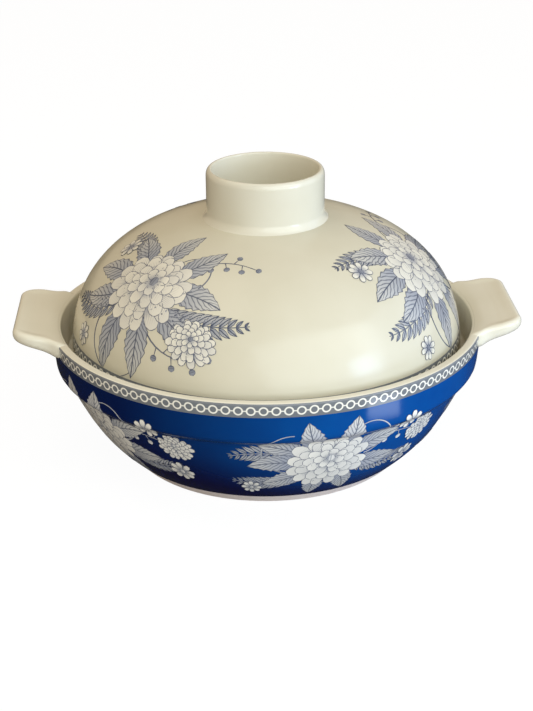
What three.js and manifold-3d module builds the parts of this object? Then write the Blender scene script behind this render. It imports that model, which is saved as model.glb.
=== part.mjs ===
// A glazed casserole pot: a bowl on a foot ring with two lug handles, and a domed lid with a ring knob
// that sits inside the rim. Millimetres, +Z up, origin at the centre of the foot's underside, and +X
// towards one of the handles.
import * as THREE from 'three';
import { mergeVertices } from 'three/addons/utils/BufferGeometryUtils.js';
import Module from 'manifold-3d';

const wasm = await Module();
wasm.setup();

// Bowl, outside
const POT_HEIGHT = 75; // table to the top of the rim
const RIM_RADIUS = 115.4; // outside of the rim
const RIM_WALL = 5.4; // thickness of the wall at the rim
const RIM_OUTER_ROUND = 2.4; // rounding of the rim's outer edge
const RIM_INNER_ROUND = 1.6; // rounding of the rim's inner edge
const BAND_HEIGHT = 19.5; // upper wall, from the rim down to the shoulder
const BAND_TAPER = 1.9; // how far the upper wall draws in over that height
const SHOULDER_STEP = 5.1; // how far the wall steps in below the upper wall
const SHOULDER_DROP = 6.5; // height over which it steps in
const BOWL_LEAN = 25.3; // degrees from vertical of the bowl just under the shoulder
const BOWL_SPREAD = 48; // degrees from vertical of the bowl where it meets the foot
const BOWL_FULLNESS = 0.38; // how long the bowl's curve holds those directions, as a share of its chord
const FOOT_RADIUS = 73.5; // outside of the foot ring where it stands
const FOOT_FLARE = 6.5; // how much wider the foot ring is at its top
const FOOT_HEIGHT = 6.5; // height of the foot ring
const FOOT_WIDTH = 9; // width of the ring that stands on the table
const FOOT_ROUND = 1.2; // rounding of the foot ring's edges
const FOOT_RECESS = 4.5; // hollow under the floor inside the foot ring

// Bowl, inside
const LEDGE_RAISE = 1.5; // the ledge that carries the lid lies this far above the shoulder outside
const LEDGE_ROUND = 1.6; // rounding of the ledge's two corners
const BOWL_WALL = 8.7; // clay between the shoulder's outside and the wall below the ledge
const BOWL_SWEEP = 20; // degrees from vertical of that wall
const FLOOR_THICKNESS = 7; // clay between the recess and the inside of the floor
const FLOOR_INSET = 9; // the flat of the floor ends this far inside the foot's outside

// Lid
const LID_CLEARANCE = 3.6; // gap between the lid's edge and the wall around the ledge
const LID_WALL = 5.2; // thickness of the lid
const LID_EDGE_ROUND = 1; // rounding of the lid's lower edges
const DOME_RISE = 75.3; // ledge up to the crown of the dome
const DOME_FULLNESS = 2.42; // exponent of the dome's curve, 2 is an ellipse and more is squarer

// Ring knob
const COLLAR_RADIUS = 31; // outside of the ring
const COLLAR_WALL = 3; // thickness of the ring
const COLLAR_HEIGHT = 24.3; // crown of the dome up to the top of the lip
const COLLAR_FLARE = 2.6; // how far the ring spreads at its base
const COLLAR_FLARE_HEIGHT = 5; // height over which it spreads

// Handles
const HANDLE_REACH = 18; // from the rim out to the tip
const HANDLE_ROOT_WIDTH = 71; // width where it leaves the rim
const HANDLE_TIP_WIDTH = 71; // width at the tip
const HANDLE_CORNER = 12; // rounding of its two outer corners
const HANDLE_ROOT_SPREAD = 3; // how far the root spreads along the rim on each side
const HANDLE_ROOT_SWEEP = 0.3; // share of the handle's length that the spread takes up
const HANDLE_RISE = 5.7; // how far the tip stands above the rim
const HANDLE_ROOT_LIFT = 2; // how far the root stands above the rim
const HANDLE_TIP_THICKNESS = 7; // thickness at the tip
const HANDLE_ROOT_THICKNESS = 7.5; // thickness at the wall

// Joints and fineness
const LUTE_GAP = 0.3; // slip joint between pieces that are stuck together
const WIDE_SEGMENTS = 56; // sides of the bowl and the lid
const COLLAR_SEGMENTS = 36; // sides of the ring knob
const CURVE_STEPS = 8; // steps along a long curve
const ROUND_STEPS = 3; // steps along a rounded edge
const SMALLEST_STEP = 1e-3; // points closer than this are one point

// Colours of the glaze
const CREAM = 0xd9d2bc;
const COBALT = 0x123f9c;

// Sizes that follow from the ones above
const bandFootZ = POT_HEIGHT - BAND_HEIGHT;
const ledgeZ = bandFootZ + LEDGE_RAISE;
const seatRadius = RIM_RADIUS - RIM_WALL - BAND_TAPER;
const lidRadius = seatRadius - LID_CLEARANCE;
const crownZ = ledgeZ + DOME_RISE;
const handleTip = RIM_RADIUS + HANDLE_REACH;
const rootHalf = HANDLE_ROOT_WIDTH / 2;
const tipHalf = HANDLE_TIP_WIDTH / 2;
const spreadHalf = rootHalf + HANDLE_ROOT_SPREAD;
const noseRound = HANDLE_TIP_THICKNESS / 2;
const tipTop = POT_HEIGHT + HANDLE_RISE;
const tipLow = tipTop - HANDLE_TIP_THICKNESS;
const rootTop = POT_HEIGHT + HANDLE_ROOT_LIFT;
const handleTall = tipTop + HANDLE_TIP_THICKNESS; // blocks that shape a handle reach up to here

// A point of a turned profile: distance from the axis and height.
function at(radius, height) {
  return new THREE.Vector2(radius, height);
}

// Direction of travel at an angle from straight down, drawing in towards the axis.
function downAt(degrees) {
  const angle = THREE.MathUtils.degToRad(degrees);
  return at(-Math.sin(angle), -Math.cos(angle));
}

// A curve between two points that leaves and arrives along given directions.
function sweep(from, leave, to, arrive, steps) {
  const pull = from.distanceTo(to) * BOWL_FULLNESS;
  const first = from.clone().addScaledVector(leave, pull);
  const second = to.clone().addScaledVector(arrive, -pull);
  return new THREE.CubicBezierCurve(from, first, second, to).getPoints(steps);
}

// A rounded corner, from the end of one side to the start of the next.
function corner(from, tip, to) {
  return new THREE.QuadraticBezierCurve(from, tip, to).getPoints(ROUND_STEPS);
}

// Radius and height on the dome's curve, from the edge at 0 to the crown at 1, for a shell drawn in by inset.
function domePoint(along, inset) {
  const angle = (along * Math.PI) / 2;
  const power = 2 / DOME_FULLNESS;
  const radius = (lidRadius - inset) * Math.cos(angle) ** power;
  const height = (DOME_RISE - inset) * Math.sin(angle) ** power;
  return at(along === 1 ? 0 : radius, ledgeZ + height);
}

// Height of the dome's outside at a given radius.
function domeHeight(radius) {
  const share = (radius / lidRadius) ** DOME_FULLNESS;
  return ledgeZ + DOME_RISE * (1 - share) ** (1 / DOME_FULLNESS);
}

// A turned solid with its axis along Z.
function turned(profile, segments) {
  const distinct = profile.filter((p, i) => i === 0 || p.distanceTo(profile[i - 1]) > SMALLEST_STEP);
  const geometry = new THREE.LatheGeometry(distinct, segments);
  geometry.rotateX(Math.PI / 2);
  return geometry;
}

function glazed(name, geometry, colour) {
  const material = new THREE.MeshStandardMaterial({ color: colour, roughness: 0.18, metalness: 0 });
  const mesh = new THREE.Mesh(geometry, material);
  mesh.name = name;
  return mesh;
}

// Foot ring and outside of the bowl up to the rim, then the inside down over the ledge to the floor.
function bowlProfile() {
  const standInner = FOOT_RADIUS - FOOT_WIDTH;
  const footTop = at(FOOT_RADIUS + FOOT_FLARE, FOOT_HEIGHT);
  const bandFoot = at(RIM_RADIUS - BAND_TAPER, bandFootZ);
  const bandLean = THREE.MathUtils.radToDeg(Math.atan2(BAND_TAPER, BAND_HEIGHT));
  const shoulder = at(bandFoot.x - SHOULDER_STEP, bandFootZ - SHOULDER_DROP);
  const rimInner = RIM_RADIUS - RIM_WALL;
  const ledgeInner = shoulder.x - BOWL_WALL;
  const underLedge = at(ledgeInner, ledgeZ - LEDGE_ROUND);
  const floorZ = FOOT_RECESS + FLOOR_THICKNESS;
  const floorEdge = at(FOOT_RADIUS - FLOOR_INSET, floorZ);
  const inwards = at(-1, 0);

  const outside = sweep(shoulder, downAt(BOWL_LEAN), footTop, downAt(BOWL_SPREAD), CURVE_STEPS);
  const step = sweep(bandFoot, downAt(bandLean), shoulder, downAt(BOWL_LEAN), 2 * ROUND_STEPS);
  const inside = sweep(underLedge, downAt(BOWL_SWEEP), floorEdge, inwards, CURVE_STEPS);
  return [
    at(0, FOOT_RECESS),
    at(standInner - FOOT_RECESS, FOOT_RECESS),
    ...corner(at(standInner - FOOT_ROUND, FOOT_ROUND), at(standInner, 0), at(standInner + FOOT_ROUND, 0)),
    ...corner(at(FOOT_RADIUS - FOOT_ROUND, 0), at(FOOT_RADIUS, 0), at(FOOT_RADIUS + FOOT_ROUND, FOOT_ROUND)),
    ...outside.reverse(),
    ...step.reverse(),
    ...corner(
      at(RIM_RADIUS, POT_HEIGHT - RIM_OUTER_ROUND),
      at(RIM_RADIUS, POT_HEIGHT),
      at(RIM_RADIUS - RIM_OUTER_ROUND, POT_HEIGHT),
    ),
    ...corner(
      at(rimInner + RIM_INNER_ROUND, POT_HEIGHT),
      at(rimInner, POT_HEIGHT),
      at(rimInner, POT_HEIGHT - RIM_INNER_ROUND),
    ),
    ...corner(
      at(seatRadius, ledgeZ + LEDGE_ROUND),
      at(seatRadius, ledgeZ),
      at(seatRadius - LEDGE_ROUND, ledgeZ),
    ),
    ...corner(at(ledgeInner + LEDGE_ROUND, ledgeZ), at(ledgeInner, ledgeZ), underLedge),
    ...inside,
    at(0, floorZ),
  ];
}

// Underside of the dome from the crown down to the edge, then the outside back up to the crown.
function domeProfile() {
  const steps = 2 * CURVE_STEPS;
  const innerRadius = lidRadius - LID_WALL;
  const clearOfEdge = ledgeZ + LID_EDGE_ROUND + SMALLEST_STEP;
  const inner = [];
  const outer = [];
  for (let i = 1; i <= steps; i += 1) {
    inner.unshift(domePoint(i / steps, LID_WALL));
    outer.push(domePoint(i / steps, 0));
  }
  return [
    ...inner.filter((p) => p.y > clearOfEdge),
    ...corner(
      at(innerRadius, ledgeZ + LID_EDGE_ROUND),
      at(innerRadius, ledgeZ),
      at(innerRadius + LID_EDGE_ROUND, ledgeZ),
    ),
    ...corner(
      at(lidRadius - LID_EDGE_ROUND, ledgeZ),
      at(lidRadius, ledgeZ),
      at(lidRadius, ledgeZ + LID_EDGE_ROUND),
    ),
    ...outer.filter((p) => p.y > clearOfEdge),
  ];
}

// A closed ring: it follows the dome underneath, spreads at its base and has a round lip.
function collarProfile() {
  const lip = COLLAR_WALL / 2;
  const lipZ = crownZ + COLLAR_HEIGHT - lip;
  const innerRadius = COLLAR_RADIUS - COLLAR_WALL;
  const baseRadius = COLLAR_RADIUS + COLLAR_FLARE;
  const base = [];
  for (let i = 0; i <= ROUND_STEPS; i += 1) {
    const radius = THREE.MathUtils.lerp(innerRadius, baseRadius, i / ROUND_STEPS);
    base.push(at(radius, domeHeight(radius) + LUTE_GAP));
  }
  const rest = base[ROUND_STEPS];
  const flareTop = at(COLLAR_RADIUS, rest.y + COLLAR_FLARE_HEIGHT);
  const flareTurn = at(COLLAR_RADIUS, rest.y + COLLAR_FLARE_HEIGHT - COLLAR_FLARE);
  const flare = new THREE.QuadraticBezierCurve(rest, flareTurn, flareTop).getPoints(2 * ROUND_STEPS);
  const lipCurve = [];
  for (let i = 0; i <= CURVE_STEPS; i += 1) {
    const turn = (i / CURVE_STEPS) * Math.PI;
    lipCurve.push(at(COLLAR_RADIUS - lip + lip * Math.cos(turn), lipZ + lip * Math.sin(turn)));
  }
  return [...base, ...flare, ...lipCurve, base[0].clone()];
}

// A closed geometry as a solid for cutting: only positions, shared vertices merged, no empty triangles.
function solidOf(geometry) {
  const bare = new THREE.BufferGeometry();
  const source = geometry.index ? geometry.toNonIndexed() : geometry;
  bare.setAttribute('position', source.getAttribute('position'));
  const merged = mergeVertices(bare, SMALLEST_STEP);
  const index = merged.index.array;
  const kept = [];
  for (let i = 0; i < index.length; i += 3) {
    const [a, b, c] = index.slice(i, i + 3);
    if (a !== b && b !== c && c !== a) kept.push(a, b, c);
  }
  const vertProperties = merged.attributes.position.array;
  return new wasm.Manifold(new wasm.Mesh({ numProp: 3, vertProperties, triVerts: new Uint32Array(kept) }));
}

function geometryOf(solid) {
  const { vertProperties, triVerts } = solid.getMesh();
  const geometry = new THREE.BufferGeometry();
  geometry.setAttribute('position', new THREE.BufferAttribute(new Float32Array(vertProperties), 3));
  geometry.setIndex(new THREE.BufferAttribute(new Uint32Array(triVerts), 1));
  geometry.computeVertexNormals();
  return geometry;
}

// Outline of a handle from above, pointing along +X: its root spreads along the rim, and its outer corners
// are round. It reaches just past the tip, which the nose below ends.
function handlePlan() {
  const spreadX = Math.sqrt(RIM_RADIUS ** 2 - spreadHalf ** 2);
  const rootX = Math.sqrt(RIM_RADIUS ** 2 - rootHalf ** 2);
  const insideX = spreadX - RIM_WALL;
  const sideX = THREE.MathUtils.lerp(rootX, handleTip, HANDLE_ROOT_SWEEP);
  const sideHalf = THREE.MathUtils.lerp(rootHalf, tipHalf, HANDLE_ROOT_SWEEP);
  const reach = handleTip + LUTE_GAP;
  const plan = new THREE.Shape();
  plan.moveTo(insideX, -spreadHalf);
  plan.lineTo(spreadX, -spreadHalf);
  plan.quadraticCurveTo(rootX, -rootHalf, sideX, -sideHalf);
  plan.lineTo(reach - HANDLE_CORNER, -tipHalf);
  plan.quadraticCurveTo(reach, -tipHalf, reach, HANDLE_CORNER - tipHalf);
  plan.lineTo(reach, tipHalf - HANDLE_CORNER);
  plan.quadraticCurveTo(reach, tipHalf, reach - HANDLE_CORNER, tipHalf);
  plan.lineTo(sideX, sideHalf);
  plan.quadraticCurveTo(rootX, rootHalf, spreadX, spreadHalf);
  plan.lineTo(insideX, spreadHalf);
  plan.closePath();
  return plan;
}

// Section of a handle, turned about the pot's axis: a little above the rim at its root, lifting slowly to the
// tip and running on past it.
function handleSection() {
  const rootLow = POT_HEIGHT - HANDLE_ROOT_THICKNESS;
  const bendTop = (rootTop + tipTop) / 2;
  const insideWall = RIM_RADIUS - RIM_WALL;
  const bend = RIM_RADIUS + noseRound;
  const past = Math.hypot(handleTip, tipHalf) + RIM_WALL;
  const section = new THREE.Path();
  section.moveTo(insideWall, rootTop);
  section.lineTo(insideWall, rootLow);
  section.lineTo(RIM_RADIUS - BAND_TAPER, rootLow);
  section.quadraticCurveTo(bend, tipLow - noseRound, handleTip - noseRound, tipLow);
  section.lineTo(past, tipLow);
  section.lineTo(past, tipTop);
  section.lineTo(handleTip - noseRound, tipTop);
  section.quadraticCurveTo(bend, bendTop, RIM_RADIUS, rootTop);
  section.lineTo(insideWall, rootTop);
  return section.getPoints(ROUND_STEPS + 1);
}

// A block as wide as the handle whose front is a half-round nose, which gives the tip its straight round edge.
function handleNose() {
  const block = new THREE.Shape();
  block.moveTo(0, 0);
  block.lineTo(handleTip - noseRound, 0);
  block.lineTo(handleTip - noseRound, tipLow);
  block.quadraticCurveTo(handleTip, tipLow, handleTip, tipLow + noseRound);
  block.quadraticCurveTo(handleTip, tipTop, handleTip - noseRound, tipTop);
  block.lineTo(handleTip - noseRound, handleTall);
  block.lineTo(0, handleTall);
  block.closePath();
  const wide = HANDLE_ROOT_WIDTH + 2 * HANDLE_ROOT_SPREAD + RIM_WALL;
  const options = { depth: wide, steps: 1, bevelEnabled: false, curveSegments: ROUND_STEPS + 1 };
  const geometry = new THREE.ExtrudeGeometry(block, options);
  geometry.rotateX(Math.PI / 2);
  geometry.translate(0, wide / 2, 0);
  return geometry;
}

// The bowl's upper wall as a filled cone grown by the slip joint, which the handle's root is cut to.
function wallCutter() {
  const wallTop = POT_HEIGHT - RIM_OUTER_ROUND;
  const slope = BAND_TAPER / (wallTop - bandFootZ);
  const profile = [
    at(0, bandFootZ),
    at(RIM_RADIUS - BAND_TAPER + LUTE_GAP, bandFootZ),
    at(RIM_RADIUS + LUTE_GAP, wallTop),
    at(RIM_RADIUS + LUTE_GAP + slope * (handleTall - wallTop), handleTall),
    at(0, handleTall),
  ];
  return solidOf(turned(profile, WIDE_SEGMENTS));
}

function handleGeometry() {
  const options = { depth: handleTall, steps: 1, bevelEnabled: false, curveSegments: CURVE_STEPS };
  const prism = solidOf(new THREE.ExtrudeGeometry(handlePlan(), options));
  const brim = solidOf(turned(handleSection(), WIDE_SEGMENTS));
  const nose = solidOf(handleNose());
  return geometryOf(prism.intersect(brim).intersect(nose).subtract(wallCutter()));
}

const pot = new THREE.Group();
pot.add(glazed('pot_bowl', turned(bowlProfile(), WIDE_SEGMENTS), COBALT));
const handleShape = handleGeometry();
const handleRight = glazed('handle_right', handleShape, CREAM);
const handleLeft = glazed('handle_left', handleShape, CREAM);
handleLeft.rotation.z = Math.PI;
pot.add(handleRight, handleLeft);

const lid = new THREE.Group();
lid.add(glazed('lid_dome', turned(domeProfile(), WIDE_SEGMENTS), CREAM));
lid.add(glazed('lid_collar', turned(collarProfile(), COLLAR_SEGMENTS), CREAM));

const casserole = new THREE.Group();
casserole.add(pot, lid);

export default casserole;
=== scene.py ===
import math
import random

import bmesh
import bpy
from mathutils import Matrix, Quaternion, Vector
from mathutils.geometry import interpolate_bezier


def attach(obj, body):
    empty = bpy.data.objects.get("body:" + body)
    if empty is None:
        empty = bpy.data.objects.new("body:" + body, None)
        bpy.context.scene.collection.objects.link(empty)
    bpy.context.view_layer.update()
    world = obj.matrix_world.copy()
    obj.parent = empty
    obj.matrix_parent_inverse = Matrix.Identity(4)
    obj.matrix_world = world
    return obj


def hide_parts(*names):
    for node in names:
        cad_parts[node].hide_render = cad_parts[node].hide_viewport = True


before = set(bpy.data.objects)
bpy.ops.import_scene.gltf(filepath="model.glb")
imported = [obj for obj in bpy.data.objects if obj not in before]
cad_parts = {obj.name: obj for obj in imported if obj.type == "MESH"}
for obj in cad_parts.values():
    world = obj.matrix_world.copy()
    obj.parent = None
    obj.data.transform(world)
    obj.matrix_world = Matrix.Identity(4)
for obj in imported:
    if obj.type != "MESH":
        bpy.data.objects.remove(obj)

mm = 0.001
fullTurn = 2 * math.pi
tiny = 1e-6  # a bend or a distance below this counts as none
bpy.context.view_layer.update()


def linear(hexText):
    # sRGB hex to the linear colour that sockets take
    parts = [int(hexText[i:i + 2], 16) / 255 for i in (1, 3, 5)]
    return [c / 12.92 if c <= 0.04045 else ((c + 0.055) / 1.055) ** 2.4 for c in parts] + [1.0]


def addNode(tree, kind, inputs=None, **settings):
    # one node with its settings; each input takes a plain value or the socket that feeds it
    node = tree.nodes.new(kind)
    for name, value in settings.items():
        setattr(node, name, value)
    for name, value in (inputs or {}).items():
        if isinstance(value, bpy.types.NodeSocket):
            tree.links.new(value, node.inputs[name])
        else:
            node.inputs[name].default_value = value
    return node


def newFinish(name):
    finish = bpy.data.materials.new(name)
    finish.use_nodes = True
    finish.node_tree.nodes.clear()
    return finish, finish.node_tree


# a dipped glaze is smoother in the hollows of its waves and rougher on their crests
skinLook = {"detail": 1.5, "hollow": 0.2, "crest": 0.8, "smoother": 0.8, "rougher": 1.3}


def glazeSkin(tree, look):
    # the slow waves bend the reflections, and the gloss is a little patchy with them
    place = addNode(tree, "ShaderNodeTexCoord").outputs["Object"]
    wave = addNode(tree, "ShaderNodeTexNoise",
                   {"Vector": place, "Scale": 1 / (look["waveMm"] * mm),
                    "Detail": skinLook["detail"]}).outputs["Fac"]
    bump = addNode(tree, "ShaderNodeBump",
                   {"Height": wave, "Strength": 1.0,
                    "Distance": look["waveDeepMm"] * mm}).outputs["Normal"]
    gloss = addNode(tree, "ShaderNodeMapRange",
                    {"Value": wave, "From Min": skinLook["hollow"], "From Max": skinLook["crest"],
                     "To Min": look["rough"] * skinLook["smoother"],
                     "To Max": look["rough"] * skinLook["rougher"]},
                    interpolation_type="SMOOTHSTEP").outputs["Result"]
    return place, bump, gloss


def closeFinish(tree, colour, bump, gloss, look):
    shader = addNode(tree, "ShaderNodeBsdfPrincipled",
                     {"Base Color": colour, "Roughness": gloss, "Normal": bump, "IOR": look["ior"],
                      "Specular IOR Level": look["shine"]})
    addNode(tree, "ShaderNodeOutputMaterial", {"Surface": shader.outputs["BSDF"]})


# ivory glaze on pale stoneware, dipped: warm white, wet gloss, faint clouding where it lies thicker
ivoryLook = {"thin": "#e6e3d4", "thick": "#dcd8c6", "cloudMm": 26, "cloudDetail": 3.0, "waveMm": 11,
             "waveDeepMm": 0.04, "rough": 0.13, "ior": 1.5, "shine": 0.45}
# the lid's copy of the ivory glaze is darker and greyer, which is painted shade, and softer in its shine
# than on the handles and the rim; the knob's copy is darkened by painted shade to a tone in between
lidShadedLook = dict(ivoryLook, thin="#d3cfbd", thick="#cac5b0", rough=0.2)
knobShadedLook = dict(ivoryLook, thin="#dcd9ca", thick="#d2cebc")


def ivoryGlaze(name, look):
    finish, tree = newFinish(name)
    place, bump, gloss = glazeSkin(tree, look)
    cloud = addNode(tree, "ShaderNodeTexNoise",
                    {"Vector": place, "Scale": 1 / (look["cloudMm"] * mm),
                     "Detail": look["cloudDetail"]}).outputs["Fac"]
    colour = addNode(tree, "ShaderNodeMix",
                     {0: cloud, 6: linear(look["thin"]), 7: linear(look["thick"])},
                     data_type="RGBA").outputs[2]
    closeFinish(tree, colour, bump, gloss, look)
    return finish


# cobalt printed under a clear glaze: deep blue, slightly uneven; the last two blues are painted shade,
# darkening the left half and, lower down, the foot, where the dark reaches higher on the left
cobaltLook = {"even": "#064f9a", "dense": "#04418a", "leftShade": "#02184c", "foot": "#08083e",
              "cloudMm": 14, "cloudDetail": 4.0, "waveMm": 13, "waveDeepMm": 0.05, "rough": 0.12, "ior": 1.5,
              "shine": 0.4, "leftShadeFromMm": 26, "leftShadeToMm": -78, "footShadeFromMm": 42, "footShadeToMm": 4,
              "footShadeLean": 0.26}


def cobaltGlaze(look):
    finish, tree = newFinish("cobalt_underglaze")
    place, bump, gloss = glazeSkin(tree, look)
    cloud = addNode(tree, "ShaderNodeTexNoise",
                    {"Vector": place, "Scale": 1 / (look["cloudMm"] * mm),
                     "Detail": look["cloudDetail"]}).outputs["Fac"]
    blue = addNode(tree, "ShaderNodeMix",
                   {0: cloud, 6: linear(look["even"]), 7: linear(look["dense"])},
                   data_type="RGBA").outputs[2]
    spot = addNode(tree, "ShaderNodeSeparateXYZ", {"Vector": place})
    # painted shade: the blue darkens towards the left side
    aside = addNode(tree, "ShaderNodeMapRange",
                    {"Value": spot.outputs["X"], "From Min": look["leftShadeFromMm"] * mm,
                     "From Max": look["leftShadeToMm"] * mm}).outputs["Result"]
    leftShaded = addNode(tree, "ShaderNodeMix", {0: aside, 6: blue, 7: linear(look["leftShade"])},
                   data_type="RGBA").outputs[2]
    # painted shade: the blue darkens towards the foot, reaching higher on the left
    level = addNode(tree, "ShaderNodeMath",
                    {0: spot.outputs["X"], 1: look["footShadeLean"], 2: spot.outputs["Z"]},
                    operation="MULTIPLY_ADD").outputs[0]
    footShade = addNode(tree, "ShaderNodeMapRange",
                  {"Value": level, "From Min": look["footShadeFromMm"] * mm, "From Max": look["footShadeToMm"] * mm},
                  interpolation_type="SMOOTHSTEP").outputs["Result"]
    colour = addNode(tree, "ShaderNodeMix", {0: footShade, 6: leftShaded, 7: linear(look["foot"])},
                     data_type="RGBA").outputs[2]
    closeFinish(tree, colour, bump, gloss, look)
    return finish


# grey printed border with a white chain of rings, under the same clear glaze
chainLook = {"ground": "#757a80", "ring": "#f1efe6", "pitchMm": 6.1, "tallMm": 7.2, "ringMm": 2.0,
             "lineMm": 0.8, "linkMm": 0.62, "softMm": 0.12, "waveMm": 13, "waveDeepMm": 0.05, "rough": 0.14,
             "ior": 1.5, "shine": 0.5}


def chainBand(look):
    finish, tree = newFinish("grey_chain_print")
    bump, gloss = glazeSkin(tree, look)[1:]
    spot = addNode(tree, "ShaderNodeSeparateXYZ",
                   {"Vector": addNode(tree, "ShaderNodeUVMap", uv_map="band").outputs["UV"]})
    share = addNode(tree, "ShaderNodeMath", {0: spot.outputs["X"]}, operation="FRACT").outputs[0]
    along = addNode(tree, "ShaderNodeMath",
                    {0: share, 1: look["pitchMm"], 2: -look["pitchMm"] / 2},
                    operation="MULTIPLY_ADD").outputs[0]
    across = addNode(tree, "ShaderNodeMath",
                     {0: spot.outputs["Y"], 1: look["tallMm"], 2: -look["tallMm"] / 2},
                     operation="MULTIPLY_ADD").outputs[0]
    flat = addNode(tree, "ShaderNodeCombineXYZ", {"X": along, "Y": across}).outputs[0]
    reach = addNode(tree, "ShaderNodeVectorMath", {0: flat}, operation="LENGTH").outputs["Value"]
    past = addNode(tree, "ShaderNodeMath", {0: reach, 1: look["ringMm"]}, operation="SUBTRACT").outputs[0]
    fromRing = addNode(tree, "ShaderNodeMath", {0: past}, operation="ABSOLUTE").outputs[0]
    ring = addNode(tree, "ShaderNodeMapRange",
                   {"Value": fromRing, "From Min": look["lineMm"] / 2 + look["softMm"],
                    "From Max": look["lineMm"] / 2 - look["softMm"]}).outputs["Result"]
    level = addNode(tree, "ShaderNodeMath", {0: across}, operation="ABSOLUTE").outputs[0]
    bar = addNode(tree, "ShaderNodeMapRange",
                  {"Value": level, "From Min": look["linkMm"] / 2 + look["softMm"],
                   "From Max": look["linkMm"] / 2 - look["softMm"]}).outputs["Result"]
    outside = addNode(tree, "ShaderNodeMath", {0: reach, 1: look["ringMm"]},
                      operation="GREATER_THAN").outputs[0]
    link = addNode(tree, "ShaderNodeMath", {0: bar, 1: outside}, operation="MULTIPLY").outputs[0]
    drawn = addNode(tree, "ShaderNodeMath", {0: ring, 1: link}, operation="MAXIMUM").outputs[0]
    colour = addNode(tree, "ShaderNodeMix",
                     {0: drawn, 6: linear(look["ground"]), 7: linear(look["ring"])},
                     data_type="RGBA").outputs[2]
    closeFinish(tree, colour, bump, gloss, look)
    return finish


# bare fired clay where the ring stands: dry, pinkish buff, fine grit
clayLook = {"pale": "#f4ebe8", "deep": "#e3d5d0", "gritMm": 0.9, "gritDetail": 4.0, "gritDeepMm": 0.06,
            "rough": 0.85}


def bareClay(look):
    finish, tree = newFinish("bare_stoneware")
    place = addNode(tree, "ShaderNodeTexCoord").outputs["Object"]
    grit = addNode(tree, "ShaderNodeTexNoise",
                   {"Vector": place, "Scale": 1 / (look["gritMm"] * mm),
                    "Detail": look["gritDetail"]}).outputs["Fac"]
    colour = addNode(tree, "ShaderNodeMix", {0: grit, 6: linear(look["pale"]), 7: linear(look["deep"])},
                     data_type="RGBA").outputs[2]
    bump = addNode(tree, "ShaderNodeBump",
                   {"Height": grit, "Distance": look["gritDeepMm"] * mm}).outputs["Normal"]
    shader = addNode(tree, "ShaderNodeBsdfPrincipled",
                     {"Base Color": colour, "Normal": bump, "Roughness": look["rough"]})
    addNode(tree, "ShaderNodeOutputMaterial", {"Surface": shader.outputs["BSDF"]})
    return finish


# line print under the clear glaze: pale petals and leaves with an inked outline, veins and a shaded base
printSkin = {"waveMm": 12, "waveDeepMm": 0.04, "rough": 0.16, "ior": 1.5, "shine": 0.4, "softMm": 0.14,
             "veinSoft": 0.08}
petalLines = {"lineMm": 0.34, "fan": 4.5, "chevron": 0.0, "lean": 0.0, "veinShare": 0.13, "fadeFrom": 0.35,
              "fadeTo": 0.85, "veinInk": 0.75, "ribMm": -1.0, "shadeTo": 0.55}  # below 0 mm is no rib
leafLines = {"lineMm": 0.32, "fan": 0.0, "chevron": 9.0, "lean": 2.6, "veinShare": 0.14, "fadeFrom": 0.8,
             "fadeTo": 1.4, "veinInk": 0.75, "ribMm": 0.3, "shadeTo": 0.9}
stemLines = {"lineMm": 0.2, "fan": 0.0, "chevron": 3.0, "lean": 0.0, "veinShare": 0.2, "fadeFrom": 0.3,
             "fadeTo": 0.9, "veinInk": 0.75, "ribMm": -1.0, "shadeTo": 0.6}
printLines = {"petal": petalLines, "leaf": leafLines, "stem": stemLines}
# ground, shaded ground and ink of each
lidInks = {"petal": ("#e0ddd1", "#969aa6", "#525a6e"), "leaf": ("#cccbc4", "#979ca7", "#444c60"),
           "stem": ("#868b97", "#6c7280", "#4c5366")}
bowlInks = {"petal": ("#efeee9", "#9298a6", "#666d7e"), "leaf": ("#dcdcd8", "#a3a9b8", "#5b6376"),
            "stem": ("#e4e4e2", "#c6c9ce", "#7d8494")}


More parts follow.
